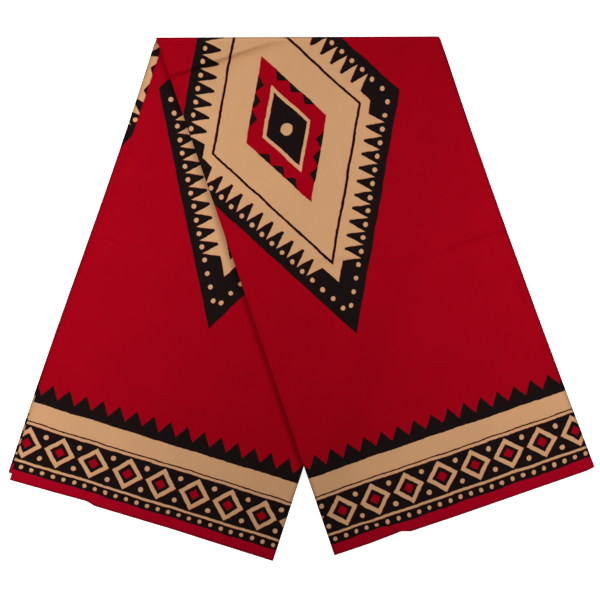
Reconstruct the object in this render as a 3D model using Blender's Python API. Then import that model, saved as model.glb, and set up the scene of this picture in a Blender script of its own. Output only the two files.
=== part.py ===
# A folded length of ankara cloth, lying flat.
# The length is plaited and folded into a strip of many plies, and the strip is folded over at its middle on
# a slanting line. Its two legs spread from that top fold, and the front leg lies over the back leg.
# X runs to the right and Y towards the top fold, seen from above. Z is up, and the cloth rests on Z = 0.
# Sizes are in metres and angles in degrees.

import math
from collections import namedtuple

import bmesh
import bpy
from mathutils import Vector

# Thickness of one leg, all plies pressed together, and of its pieces
LEG_THICKNESS = 0.0060
TOP_PLY = 0.0012
SECOND_PLY = 0.0009
GAP = 0.0003

# The top fold
FOLD_Y = 0.2978
FOLD_LEFT_X = -0.1650
FOLD_RIGHT_X = 0.1562
FOLD_RADIUS = LEG_THICKNESS + GAP / 2

# Edges of the legs, from the top fold down to the hem. Slant is measured from the Y axis, to the right
# positive, and bow is how far the middle of the edge stands to the right of a straight line.
Edge = namedtuple("Edge", "fold_x slant length bow")
FRONT_LEFT = Edge(FOLD_LEFT_X, 18.99, 0.6226, 0.0008)
FRONT_RIGHT = Edge(FOLD_RIGHT_X, 19.96, 0.5189, -0.0020)
BACK_LEFT = Edge(FOLD_LEFT_X, -18.79, 0.5223, 0.0015)
BACK_RIGHT = Edge(FOLD_RIGHT_X, -17.57, 0.6248, 0.0018)
TOP_PLY_LEFT_LENGTH = 0.5300

# How far the back leg's second ply shows past its top ply, by share of the way from the fold to the hem
Peek = namedtuple("Peek", "share shows")
SECOND_PLY_SHOWS = (
    Peek(0.00, 0.0096),
    Peek(0.25, 0.0088),
    Peek(0.36, 0.0062),
    Peek(0.48, 0.0030),
    Peek(1.00, 0.0016),
)

# Where a hem leaves its straight line, by share of the way from its left corner to its right one
HemStep = namedtuple("HemStep", "share out")
FRONT_HEM = (
    HemStep(0.00, 0.0),
    HemStep(0.14, 0.0),
    HemStep(0.26, -0.0014),
    HemStep(0.29, 0.0022),
    HemStep(0.50, 0.0016),
    HemStep(0.97, 0.0003),
    HemStep(1.00, -0.0024),
)
BACK_HEM = (
    HemStep(0.00, 0.0),
    HemStep(0.19, -0.0017),
    HemStep(0.29, -0.0028),
    HemStep(0.35, -0.0002),
    HemStep(0.60, -0.0010),
    HemStep(1.00, 0.0),
)
PLAIN_HEM = (HemStep(0.0, 0.0), HemStep(1.0, 0.0))
HEM_STEP_REACH = 0.12

# The front leg comes down from the back leg over this width, starting just past the back leg's edge
DROP_START = 0.0100
DROP_WIDTH = 0.0560

# How far each group of inner plies lies back from the outline, from the lowest group up
Group = namedtuple("Group", "left right hem")
FRONT_GROUPS = (
    Group(0.0026, 0.0012, 0.0016),
    Group(0.0010, 0.0028, 0.0034),
    Group(0.0021, 0.0010, 0.0011),
    Group(0.0008, 0.0020, 0.0026),
    Group(0.0016, 0.0008, 0.0014),
)
BACK_GROUPS = (
    Group(0.0011, 0.0023, 0.0012),
    Group(0.0029, 0.0009, 0.0030),
    Group(0.0012, 0.0018, 0.0008),
    Group(0.0024, 0.0010, 0.0021),
)

# The groove between two groups, and the shares of a group's height between which its edge stands upright
GROOVE = 0.0007
GROUP_UPRIGHT = (0.3, 0.7)

# A ply's rounded rim: height as a share of its thickness, and how far it lies back there
Rim = namedtuple("Rim", "share back")
PLY_RIM = (Rim(0.0, 0.00045), Rim(0.3, 0.00005), Rim(0.7, 0.00005), Rim(1.0, 0.00045))

# Section of a crease, two shoulders with a trough between them: how much of their height the trough takes
# away, how many times narrower it is, and where they stand, as a share of half the crease's width
TROUGH_DEPTH = 0.7
TROUGH_NARROWER = 3
SHOULDER_PLACE = 0.7

# Creases left by earlier folding. Each runs between two points of a leg, given by their shares across it
# and along it, and its height follows a sine to this power, so that it fades out at its ends.
CREASE_FADE = 0.5
Crease = namedtuple("Crease", "start end height width")
FRONT_CREASES = (
    Crease((0.03, 0.088), (0.46, 0.008), 0.0011, 0.020),
    Crease((0.12, 0.450), (0.995, 0.450), 0.0010, 0.020),
)
BACK_CREASES = (Crease((0.0, 0.448), (0.36, 0.448), 0.0010, 0.020),)

# Points on the grids that the pieces are made on, across and along a leg, before those at its creases, hem
# steps and peeking ply are added. An added point replaces an even one that is nearer to it than a share of
# the even spacing.
FRONT_GRID = (19, 27)
BACK_PLY_GRID = (9, 19)
BACK_GRID = (7, 13)
NEAR_FOLD = (0.02, 0.055, 0.1)
CLEAR_SHARE = 0.4

# Steps round the top fold, and the angle from which an edge is drawn sharp
FOLD_STEPS = 10
SHARP_ANGLE = 40

# Printed cotton as it shows on a ply's face and on the layered edges: linear colour and roughness
Finish = namedtuple("Finish", "name colour roughness")
FACE = Finish("printed_cotton_face", (0.34, 0.005, 0.012), 0.75)
LAYERS = Finish("printed_cotton_layers", (0.27, 0.005, 0.010), 0.85)

# A level of a leg: its height, and how far its outline lies back from the leg's own on three sides
Level = namedtuple("Level", "height left right hem")
FLAT = Level(0, 0, 0, 0)

# A leg: its two edges, and its hem's steps
Leg = namedtuple("Leg", "left right hem_steps")


def clear_scene():
    for thing in list(bpy.data.objects):
        bpy.data.objects.remove(thing)


def smooth_step(x):
    x = min(1.0, max(0.0, x))
    return x * x * (3 - 2 * x)


def read_table(rows, share):
    """The second column of a table of two columns, at a share between its rows."""
    for (share_a, a), (share_b, b) in zip(rows, rows[1:]):
        if share <= share_b:
            return a + (b - a) * (share - share_a) / (share_b - share_a)
    return rows[-1][1]


def edge_directions(edge):
    """Unit vectors down an edge, and across it to the right."""
    slant = math.radians(edge.slant)
    return Vector((math.sin(slant), -math.cos(slant))), Vector((math.cos(slant), math.sin(slant)))


def edge_point(edge, share):
    down, across = edge_directions(edge)
    bow = edge.bow * math.sin(math.pi * share)
    return Vector((edge.fold_x, FOLD_Y)) + down * edge.length * share + across * bow


def leg_point(leg, across, along, level, fold_back):
    """A point of a leg seen from above, across from left to right and along from the fold to the hem, on a
    level whose outline lies back from the leg's own."""
    ends = []
    for edge in (leg.left, leg.right):
        first = fold_back / (edge.length * math.cos(math.radians(edge.slant)))
        last = 1 - level.hem / edge.length
        ends.append(edge_point(edge, first + (last - first) * along))
    left, right = ends
    width = (right - left).length
    across_m = level.left + (width - level.left - level.right) * across
    down = edge_directions(leg.left)[0] + edge_directions(leg.right)[0]
    near_hem = smooth_step((along - 1) / HEM_STEP_REACH + 1)
    step = read_table(leg.hem_steps, across) * near_hem
    return left + (right - left) / width * across_m + down.normalized() * step


def front_base(place):
    """Height of the front leg's underside: on the back leg, and down to the surface beyond its edge."""
    out = (place - Vector((FOLD_RIGHT_X, FOLD_Y))).dot(edge_directions(BACK_RIGHT)[1])
    return (LEG_THICKNESS + GAP) * (1 - smooth_step((out - DROP_START) / DROP_WIDTH))


def crease_height(leg, creases, place):
    """How far the top ply is raised at a place: never below the plain ply."""
    raised = 0.0
    for crease in creases:
        start, end = (leg_point(leg, *shares, FLAT, FOLD_RADIUS) for shares in (crease.start, crease.end))
        run = end - start
        share = (place - start).dot(run) / run.length_squared
        if not 0 < share < 1:
            continue
        aside = Vector((-run.y, run.x)).normalized()
        off = 2 * (place - start).dot(aside) / crease.width
        section = math.exp(-(off**2)) - TROUGH_DEPTH * math.exp(-((TROUGH_NARROWER * off) ** 2))
        raised += crease.height * section * math.sin(math.pi * share) ** CREASE_FADE
    return raised


def spaced(count, extras=()):
    """Shares from 0 to 1, evenly spaced, with the extras in place of the even ones nearest to them."""
    clear = CLEAR_SHARE / (count - 1)
    even = [i / (count - 1) for i in range(count)]
    kept = [x for x in even if x in (0, 1) or all(abs(x - extra) > clear for extra in extras)]
    return sorted({*kept, *(extra for extra in extras if 0 < extra < 1)})


def crease_rows(creases):
    """Shares along a leg at the trough and the shoulders of each crease that runs straight across it."""
    rows = []
    for crease in creases:
        if crease.start[1] == crease.end[1]:
            shoulder = SHOULDER_PLACE * crease.width / 2 / FRONT_LEFT.length
            rows += [crease.start[1] + side * shoulder for side in (-1, 0, 1)]
    return rows


def fold_inset(height):
    """How far inner plies lie back from the top fold's crest at a height, inside the turning top ply."""
    inner = FOLD_RADIUS - TOP_PLY - GAP
    off = abs(height - FOLD_RADIUS)
    if off > inner:
        return FOLD_RADIUS + GAP
    return FOLD_RADIUS - math.sqrt(inner * inner - off * off)


def ply_levels(bottom, thickness):
    return [Level(bottom + thickness * rim.share, rim.back, rim.back, rim.back) for rim in PLY_RIM]


def group_levels(bottom, top, groups):
    """Levels of a stack of groups of plies, each with a rounded edge and a groove between it and the next."""
    step = (top - bottom) / len(groups)
    levels = []
    for i, group in enumerate(groups):
        below = groups[max(0, i - 1)]
        deeper = [max(pair) + GROOVE for pair in zip(group, below)]
        levels.append(Level(bottom + step * i, *deeper))
        levels += [Level(bottom + step * (i + share), *group) for share in GROUP_UPRIGHT]
    levels.append(Level(top, *[back + GROOVE for back in groups[-1]]))
    return levels


def grid_body(name, columns, rows, levels, point, material):
    """A closed body on a grid: a lower and an upper face with a point for each column and row, and rings of
    points between them round the rim, one for each level."""
    mesh = bmesh.new()

    def sheet(level):
        return [[mesh.verts.new(point(column, row, level)) for column in columns] for row in rows]

    lower, upper = sheet(levels[0]), sheet(levels[-1])
    last_i, last_j = len(columns) - 1, len(rows) - 1
    rim = [(i, 0) for i in range(last_i)] + [(last_i, j) for j in range(last_j)]
    rim += [(i, last_j) for i in range(last_i, 0, -1)] + [(0, j) for j in range(last_j, 0, -1)]
    rings = [[lower[j][i] for i, j in rim]]
    for level in levels[1:-1]:
        rings.append([mesh.verts.new(point(columns[i], rows[j], level)) for i, j in rim])
    rings.append([upper[j][i] for i, j in rim])
    for low, high in zip(rings, rings[1:]):
        for k in range(len(rim)):
            after = (k + 1) % len(rim)
            mesh.faces.new((low[k], low[after], high[after]))
            mesh.faces.new((low[k], high[after], high[k]))
    for sheet_rows in (lower, upper):
        for j in range(last_j):
            for i in range(last_i):
                a, b = sheet_rows[j][i], sheet_rows[j][i + 1]
                c, d = sheet_rows[j + 1][i + 1], sheet_rows[j + 1][i]
                mesh.faces.new((a, b, c))
                mesh.faces.new((a, c, d))
    bmesh.ops.recalc_face_normals(mesh, faces=mesh.faces)
    data = bpy.data.meshes.new(name)
    mesh.to_mesh(data)
    mesh.free()
    data.shade_smooth()
    data.set_sharp_from_angle(angle=math.radians(SHARP_ANGLE))
    data.materials.append(material)
    piece = bpy.data.objects.new(name, data)
    bpy.context.scene.collection.objects.link(piece)
    return piece


def cotton(finish):
    material = bpy.data.materials.new(finish.name)
    material.use_nodes = True
    shader = material.node_tree.nodes["Principled BSDF"]
    shader.inputs["Base Color"].default_value = (*finish.colour, 1)
    shader.inputs["Roughness"].default_value = finish.roughness
    shader.inputs["Metallic"].default_value = 0.0
    return material


def front_grid(leg):
    columns = spaced(FRONT_GRID[0], [step.share for step in leg.hem_steps])
    rows = spaced(FRONT_GRID[1], [*NEAR_FOLD, *crease_rows(FRONT_CREASES)])
    return columns, rows


def front_leg_ply(leg, material):
    """The top ply, from the hem up the front leg, round the top fold and in under the back leg."""
    columns, rows = front_grid(leg)
    inner = FOLD_RADIUS - TOP_PLY
    bottom = LEG_THICKNESS - TOP_PLY

    def on_leg(across, along, level):
        place = leg_point(leg, across, along, level, FOLD_RADIUS)
        middle = leg_point(leg, across, along, FLAT, FOLD_RADIUS)
        height = front_base(middle) + level.height + crease_height(leg, FRONT_CREASES, middle)
        return Vector((*place, height))

    def on_turn(across, turn, level):
        radius = inner + level.height - bottom
        y = FOLD_Y - FOLD_RADIUS + radius * math.sin(turn)
        z = FOLD_RADIUS + radius * math.cos(turn)
        edges = (leg.left, leg.right) if turn < math.pi / 2 else (BACK_LEFT, BACK_RIGHT)
        left, right = (e.fold_x + (FOLD_Y - y) * math.tan(math.radians(e.slant)) for e in edges)
        left += level.left
        right -= level.right
        return Vector((left + (right - left) * across, y, z))

    def point(across, row, level):
        return on_turn(across, -row, level) if row < 0 else on_leg(across, row, level)

    turns = [-math.pi * (i + 1) / FOLD_STEPS for i in range(FOLD_STEPS)]
    all_rows = turns[::-1] + rows
    return grid_body("front_leg_ply", columns, all_rows, ply_levels(bottom, TOP_PLY), point, material)


def front_leg_inner_plies(leg, material):
    columns, rows = front_grid(leg)
    top = LEG_THICKNESS - TOP_PLY - GAP

    def point(across, along, level):
        fold_back = fold_inset(LEG_THICKNESS + GAP + level.height)
        place = leg_point(leg, across, along, level, fold_back)
        middle = leg_point(leg, across, along, FLAT, FOLD_RADIUS)
        return Vector((*place, front_base(middle) + level.height))

    levels = group_levels(0.0, top, FRONT_GROUPS)
    return grid_body("front_leg_inner_plies", columns, rows, levels, point, material)


def back_leg_piece(name, leg, columns, rows, levels, material):
    """A piece of the back leg with no creases, which lies flat."""

    def point(across, along, level):
        place = leg_point(leg, across, along, level, fold_inset(level.height))
        return Vector((*place, level.height))

    return grid_body(name, columns, rows, levels, point, material)


def back_leg_ply(leg, material):
    """The top ply of the back leg, set back along its left edge by what the ply under it shows."""
    columns = spaced(BACK_PLY_GRID[0], [step.share for step in leg.hem_steps])
    rows = spaced(BACK_PLY_GRID[1], [row.share for row in SECOND_PLY_SHOWS] + crease_rows(BACK_CREASES))

    def point(across, along, level):
        set_back = level._replace(left=level.left + read_table(SECOND_PLY_SHOWS, along))
        place = leg_point(leg, across, along, set_back, fold_inset(level.height))
        return Vector((*place, level.height + crease_height(leg, BACK_CREASES, place)))

    levels = ply_levels(LEG_THICKNESS - TOP_PLY, TOP_PLY)
    return grid_body("back_leg_ply", columns, rows, levels, point, material)


def main():
    clear_scene()
    face = cotton(FACE)
    layers = cotton(LAYERS)

    front = Leg(FRONT_LEFT, FRONT_RIGHT, FRONT_HEM)
    front_leg_ply(front, face)
    front_leg_inner_plies(front, layers)

    back_leg_ply(Leg(BACK_LEFT._replace(length=TOP_PLY_LEFT_LENGTH), BACK_RIGHT, BACK_HEM), face)
    under = Leg(BACK_LEFT, BACK_RIGHT, PLAIN_HEM)
    columns, rows = (spaced(count) for count in BACK_GRID)
    second_bottom = LEG_THICKNESS - TOP_PLY - GAP - SECOND_PLY
    second_levels = ply_levels(second_bottom, SECOND_PLY)
    back_leg_piece("back_leg_second_ply", under, columns, rows, second_levels, face)
    inner_levels = group_levels(0.0, second_bottom - GAP, BACK_GROUPS)
    back_leg_piece("back_leg_inner_plies", under, columns, rows, inner_levels, layers)


main()
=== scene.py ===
import math

import bmesh
import bpy
import numpy as np
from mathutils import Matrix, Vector, noise


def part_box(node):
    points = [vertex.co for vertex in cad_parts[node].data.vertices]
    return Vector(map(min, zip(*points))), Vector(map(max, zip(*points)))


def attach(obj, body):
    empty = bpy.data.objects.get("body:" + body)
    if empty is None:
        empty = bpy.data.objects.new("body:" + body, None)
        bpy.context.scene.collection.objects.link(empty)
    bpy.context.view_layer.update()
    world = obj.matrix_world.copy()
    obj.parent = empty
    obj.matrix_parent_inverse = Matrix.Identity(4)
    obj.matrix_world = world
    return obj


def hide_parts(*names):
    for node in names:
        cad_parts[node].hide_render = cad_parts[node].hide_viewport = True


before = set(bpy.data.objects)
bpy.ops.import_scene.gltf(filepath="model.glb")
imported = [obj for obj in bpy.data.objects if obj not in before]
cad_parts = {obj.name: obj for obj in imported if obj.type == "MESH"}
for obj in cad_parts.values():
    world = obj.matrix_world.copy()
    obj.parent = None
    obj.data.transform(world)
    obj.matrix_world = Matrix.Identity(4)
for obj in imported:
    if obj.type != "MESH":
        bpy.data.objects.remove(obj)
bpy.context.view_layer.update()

# metres and degrees; "left" and "right" are as the cloth is looked down on, with its top fold away from us
bundle = {
    "plies": 18,
    "legHeight": 0.0060,     # one leg, all plies pressed together
    "legGap": 0.0003,        # between the two legs
    "legWidth": 0.31,
    "clothWidth": 1.15,      # selvedge to selvedge, so hem to hem along the strip
    "clothThick": 0.00027,
    "foldY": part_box("front_leg_ply")[1].y,
    "foldLeft": -0.1650,
    "foldRight": 0.1562,
    "dropStart": 0.0100,     # the front leg comes down to the table past the back leg's edge
    "dropWidth": 0.0560,
    "hemReach": 0.034,       # a hem's steps fade out this far up the leg
}

# slant is from the Y axis, to the right positive; bow is how far the middle stands to the right, and
# sway how far the upper half does, with the lower half as far to the left. Each table has shares across
# the leg, or down it for inset and for the painted edge shade on the left, and then the value at each of them
nothing = ((0.0, 1.0), (0.0, 0.0))
frontLeg = {
    "left": {"foldX": bundle["foldLeft"], "slant": 18.99, "length": 0.6226, "bow": 0.0008},
    "right": {"foldX": bundle["foldRight"], "slant": 19.96, "length": 0.5189, "bow": -0.0020},
    "inset": nothing,
    "hemOut": ((0.0, 0.14, 0.26, 0.29, 0.50, 0.97, 1.0), (0.0, 0.0, -0.0014, 0.0022, 0.0025, 0.0015, 0.0003)),
    "hemLean": 1.7,          # the hem's steps move to the left by this much for each metre up
    "curl": ((0.0, 0.50, 1.0), (0.0001, 0.0003, 0.0008)),    # the top ply's selvedge stands up this much
    # the left edge gets little painted shade along its rim while it lies on the back leg
    "rimShadeLeft": ((0.0, 0.80, 0.84, 1.0), (0.2, 0.2, 1.0, 1.0)),
}
backLeg = {
    "left": {"foldX": bundle["foldLeft"], "slant": -18.79, "length": 0.5296, "bow": 0.0006, "sway": 0.0012},
    "right": {"foldX": bundle["foldRight"], "slant": -17.57, "length": 0.6242, "bow": 0.0018},
    # the second ply shows this far past the left edge
    "inset": ((0.0, 0.25, 0.36, 0.48, 0.72, 0.89, 1.0),
              (0.0096, 0.0088, 0.0062, 0.0030, 0.0018, 0.0026, 0.0045)),
    "hemOut": ((0.0, 0.19, 0.29, 0.322, 0.60, 1.0), (0.0, -0.0017, -0.0028, -0.0002, -0.0010, 0.0)),
    "hemLean": -0.8,
    "curl": ((0.0, 0.15, 0.60, 1.0), (0.0016, 0.0021, 0.0015, 0.0002)),
    "rimShadeLeft": ((0.0, 1.0), (0.3, 0.3)),
}
# the back leg's lower plies reach less far down at the left, and further out
backUnderLeg = {
    "left": dict(backLeg["left"], length=0.5223),
    "right": backLeg["right"],
    "inset": nothing, "hemOut": nothing, "hemLean": 0.0, "curl": nothing,
    "rimShadeLeft": ((0.0, 1.0), (1.0, 1.0)),
}

plyPitch = bundle["legHeight"] / bundle["plies"]
foldRadius = bundle["legHeight"] + bundle["legGap"] / 2
foldCentre = (bundle["foldY"] - foldRadius, foldRadius)      # y and z


def smoothStep(x):
    x = np.clip(x, 0.0, 1.0)
    return x * x * (3 - 2 * x)


def edgeWays(edge):
    # unit vectors down an edge, and across it to the right
    slant = math.radians(edge["slant"])
    return np.array([math.sin(slant), -math.cos(slant)]), np.array([math.cos(slant), math.sin(slant)])


def edgePlaces(edge, along):
    # along runs from the start of the turn at the top fold, 0, to the hem, 1
    down, aside = edgeWays(edge)
    first = foldRadius / (edge["length"] * math.cos(math.radians(edge["slant"])))
    share = (first + (1 - first) * np.asarray(along, float))[..., None]
    start = np.array([edge["foldX"], bundle["foldY"]])
    out = edge["bow"] * np.sin(math.pi * share) + edge.get("sway", 0.0) * np.sin(math.tau * share)
    return start + down * edge["length"] * share + aside * out


def aboveHem(along):
    return (1 - np.asarray(along)) * bundle["clothWidth"] / 2


def legPlan(leg, along, columns, hemSteps=True):
    # seen from above, one place for each row and column
    left, right = edgePlaces(leg["left"], along), edgePlaces(leg["right"], along)
    span = right - left
    width = np.linalg.norm(span, axis=1)[:, None]
    inset = np.interp(along, *leg["inset"])[:, None]
    trim = columns["trim"]
    metres = inset + trim + columns["share"] * (width - inset - 2 * trim) + columns["aside"]
    plan = left[:, None] + (span / width)[:, None] * metres[..., None]
    if hemSteps:
        down = edgeWays(leg["left"])[0] + edgeWays(leg["right"])[0]
        above = aboveHem(along)
        share = columns["share"] + (leg["hemLean"] * above / bundle["legWidth"])[:, None]
        step = np.interp(share, *leg["hemOut"])
        near = smoothStep(1 - above / bundle["hemReach"])
        plan = plan + down / np.linalg.norm(down) * (near[:, None] * step)[..., None]
    return plan


def clothPlace(leg, plan):
    # u along the hem from its left corner, v up from the hem, in metres of cloth
    left, right = edgePlaces(leg["left"], 1.0), edgePlaces(leg["right"], 1.0)
    hem = (right - left) / np.linalg.norm(right - left)
    away = plan - left
    return np.stack([away @ hem, away @ np.array([-hem[1], hem[0]])], axis=-1)


def besideEdge(edge, plan):
    # distance of a place to the right of an edge's straight line
    return (plan - np.array([edge["foldX"], bundle["foldY"]])) @ edgeWays(edge)[1]


# creases and wrinkles, placed in metres from the model's middle; a positive rise is a ridge,
# lean makes the slope longer on the left of the path, and each crease lays a line of painted shade along
# itself, which can be wider on the left
plainCrease = {"shoulder": 0.0, "lean": 0.0, "paintedShade": 0.0, "shadeLean": 0.0}
frontCreases = [
    # the pressed middle crease, which meets the top fold at a slant
    {"path": [(-0.0180, 0.2924), (-0.0340, 0.2891), (-0.0690, 0.2768), (-0.1090, 0.2641), (-0.1750, 0.2416)],
     "rise": -0.00175, "width": 0.0019, "shoulder": 0.10, "lean": 1.5, "paintedShade": 0.19, "shadeLean": 1.5},
    {"path": [(-0.108, 0.2618), (-0.132, 0.2562), (-0.156, 0.2462)],
     "rise": -0.00060, "width": 0.0034, "shoulder": 0.4, "lean": 0.8},
    # the pressed quarter crease, plain at the right and faint further in
    {"path": [(0.3050, 0.0930), (0.2299, 0.0770), (0.2050, 0.0701), (0.1739, 0.0588), (0.1373, 0.0440),
              (0.1230, 0.0410), (0.1000, 0.0370)],
     "rise": -0.00070, "width": 0.0019, "shoulder": 0.25, "lean": 2.6, "paintedShade": 0.045, "shadeLean": 1.6},
    {"path": [(0.1350, 0.0470), (0.0850, 0.0400), (0.0502, 0.0444), (0.0100, 0.0420), (-0.0350, 0.0350)],
     "rise": -0.00036, "width": 0.0028, "shoulder": 0.5, "lean": 0.9, "paintedShade": 0.035, "shadeLean": 1.0},
    # a pucker beside the right edge
    {"path": [(0.2369, 0.0363), (0.2441, 0.0200), (0.2482, 0.0079), (0.2552, -0.0044), (0.2633, -0.0115)],
     "rise": -0.00090, "width": 0.0012, "shoulder": 0.4, "lean": 0.8, "paintedShade": 0.20},
    # a small wrinkle across the selvedge, and the dip beside it
    {"path": [(0.1120, -0.2660), (0.0940, -0.2575), (0.0740, -0.2500)],
     "rise": -0.00080, "width": 0.0022, "shoulder": 0.8, "lean": 0.5, "paintedShade": 0.05},
    {"path": [(0.0990, -0.2430), (0.1120, -0.2520), (0.1190, -0.2640)],
     "rise": 0.00045, "width": 0.0045},
    # long faint draws in the cloth
    {"path": [(-0.080, 0.180), (-0.020, 0.060), (0.020, -0.060), (0.060, -0.190)],
     "rise": 0.00055, "width": 0.0240},
    {"path": [(0.120, 0.250), (0.150, 0.150), (0.165, 0.020)],
     "rise": -0.00050, "width": 0.0200, "shoulder": 0.3, "lean": 0.2},
    {"path": [(0.150, -0.140), (0.200, -0.165), (0.240, -0.150)],
     "rise": -0.00050, "width": 0.0120, "shoulder": 0.4, "lean": 0.3},
]
backCreases = [
    {"path": [(-0.1750, 0.0520), (-0.1960, 0.0600), (-0.2197, 0.0680), (-0.2440, 0.0740)],
     "rise": -0.00055, "width": 0.0020, "shoulder": 0.3, "lean": 1.0, "paintedShade": 0.04},
    {"path": [(-0.2640, -0.1710), (-0.2760, -0.1590), (-0.2860, -0.1480)],
     "rise": -0.00050, "width": 0.0020, "shoulder": 0.5, "lean": 0.5, "paintedShade": 0.05},
    {"path": [(-0.2450, -0.2280), (-0.2360, -0.2200), (-0.2300, -0.2090)],
     "rise": -0.00060, "width": 0.0030, "shoulder": 0.6, "lean": 0.4},
    {"path": [(-0.230, 0.010), (-0.200, -0.080), (-0.190, -0.180)],
     "rise": 0.00050, "width": 0.0220},
    {"path": [(-0.130, -0.060), (-0.120, -0.150), (-0.095, -0.240)],
     "rise": -0.00050, "width": 0.0180, "shoulder": 0.3, "lean": 0.2},
]
surface = {
    "waveHeight": 0.00045,   # soft unevenness of a pressed stack
    "waveLength": 0.070,
    "edgeDroop": 0.00032,    # the top plies bend down at a leg's folded edges
    "droopReach": 0.0055,
    "foldCalm": 0.009,       # nothing stirs this near to the top fold's turn
    "curlReach": 0.016,
    "coverReach": 0.030,     # the back leg's face calms down over this stretch beside the front leg
    "topTilt": 0.004,        # the top fold isn't quite level
    "topRise": 0.0005,
    "tiltFrom": 0.10, "tiltOver": 0.18,      # the y where it sets in, and how far on it is whole
    "shoulderAt": 1.7,       # in widths of the crease
    # how wide a crease's painted shade spreads, in the crease's widths
    "shadeSpread": 1.3,
    # painted shade: folds and selvedges are painted darker right at their edge, and the top fold's outside
    # too
    "rimShadeDepth": 0.41,         # folds and selvedges are a little darker right at their edge
    "rimShadeReach": 0.0023,
    "turnShadeDepth": 0.66,        # and so is the outside of the top fold
    "turnShadeFrom": 0.35,
}


def creaseShape(creases, plan):
    # how far the creases lift each place, and how much painted shade they lay on it
    flat = plan.reshape(-1, 2)
    total, paintedShades = np.zeros(len(flat)), np.zeros(len(flat))
    for crease in creases:
        crease = {**plainCrease, **crease}
        path = np.array(crease["path"])
        steps = np.diff(path, axis=0)
        lengths = np.linalg.norm(steps, axis=1)
        nearest = np.full(len(flat), 1e9)
        side, share = np.zeros(len(flat)), np.zeros(len(flat))
        before = 0.0
        for start, step, length in zip(path, steps, lengths):
            away = flat - start
            t = np.clip(away @ step / length**2, 0, 1)
            off = away - t[:, None] * step
            distance = np.linalg.norm(off, axis=1)
            closer = distance < nearest
            turn = step[0] * away[:, 1] - step[1] * away[:, 0]
            nearest = np.where(closer, distance, nearest)
            side = np.where(closer, np.sign(turn), side)
            share = np.where(closer, (before + t * length) / lengths.sum(), share)
            before += length
        width = crease["width"] * np.where(side > 0, 1 + crease["lean"], 1.0)
        trough = np.exp(-((nearest / width) ** 2))
        shoulders = crease["shoulder"] * np.exp(-((nearest / width - surface["shoulderAt"]) ** 2))
        # a crease fades towards its ends
        fade = np.sin(math.pi * np.clip(share, 0.02, 0.98)) ** 0.6
        total += crease["rise"] * (trough - shoulders) * fade
        # a line of painted shade along the crease
        shadeWidth = surface["shadeSpread"] * crease["width"] * np.where(side > 0, 1 + crease["shadeLean"], 1.0)
        paintedShades += crease["paintedShade"] * np.exp(-((nearest / shadeWidth) ** 2)) * fade
    return total.reshape(plan.shape[:-1]), paintedShades.reshape(plan.shape[:-1])


def waves(plan, seed):
    size = surface["waveLength"]
    flat = [noise.noise(Vector((x / size, y / size, seed))) + 0.4 * noise.noise(
        Vector((2.3 * x / size, 2.3 * y / size, seed + 9))) for x, y in plan.reshape(-1, 2)]
    return surface["waveHeight"] * np.array(flat).reshape(plan.shape[:-1])


def edgeDroop(leg, plan):
    reach = surface["droopReach"]
    fromLeft = np.maximum(besideEdge(leg["left"], plan), 0)
    fromRight = np.maximum(-besideEdge(leg["right"], plan), 0)
    return -surface["edgeDroop"] * (np.exp(-fromLeft / reach) + np.exp(-fromRight / reach))


def tiltTop(points):
    tilted = np.array(points, float)
    rise = surface["topRise"] + surface["topTilt"] * tilted[..., 0]
    tilted[..., 1] += rise * smoothStep((tilted[..., 1] - surface["tiltFrom"]) / surface["tiltOver"])
    return tilted


def selvedgeCurl(leg, along, columns):
    near = np.clip(1 - aboveHem(along) / surface["curlReach"], 0, 1) ** 2
    return near[:, None] * np.interp(columns["share"], *leg["curl"])


def rimShades(leg, along, columns):
    # painted shade along the side edges and the hem
    share, reach = columns["share"], surface["rimShadeReach"]
    fromSide = bundle["legWidth"] * np.minimum(share, 1 - share) + np.abs(columns["cloth"])
    leftShare = np.interp(along, *leg["rimShadeLeft"])[:, None]
    atSide = np.exp(-((fromSide / reach) ** 2)) * np.where(share < 0.5, leftShare, 1.0)
    atHem = np.exp(-((aboveHem(along) / reach) ** 2))[:, None]
    return surface["rimShadeDepth"] * np.maximum(atSide, atHem)


def calmAtFold(plan):
    return smoothStep((foldCentre[0] - plan[..., 1]) / surface["foldCalm"])


def frontHeight(plan, depth):
    # depth is from the plane between the legs, 0, out to the front leg's face
    out = besideEdge(backLeg["right"], plan)
    drop = smoothStep((out - bundle["dropStart"]) / bundle["dropWidth"])
    base = (bundle["legHeight"] + bundle["legGap"]) * (1 - drop)
    rise = creaseShape(frontCreases, plan)[0] + waves(plan, 3.0) + edgeDroop(frontLeg, plan)
    return base + depth / bundle["legHeight"] * (bundle["legHeight"] + rise * calmAtFold(plan))


def backHeight(plan, depth):
    # depth is from the back leg's upper face down to the table; it lies still where the front leg covers it
    bare = 1 - smoothStep(besideEdge(frontLeg["left"], plan) / surface["coverReach"] + 1)
    rise = creaseShape(backCreases, plan)[0] + waves(plan, 7.0) + edgeDroop(backLeg, plan)
    top = bundle["legHeight"] + rise * calmAtFold(plan) * bare
    return top * (1 - depth / bundle["legHeight"])


legs = {
    "front": (frontLeg, frontHeight, frontCreases),
    "back": (backLeg, backHeight, backCreases),
    "backUnder": (backUnderLeg, backHeight, backCreases),
}


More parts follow.
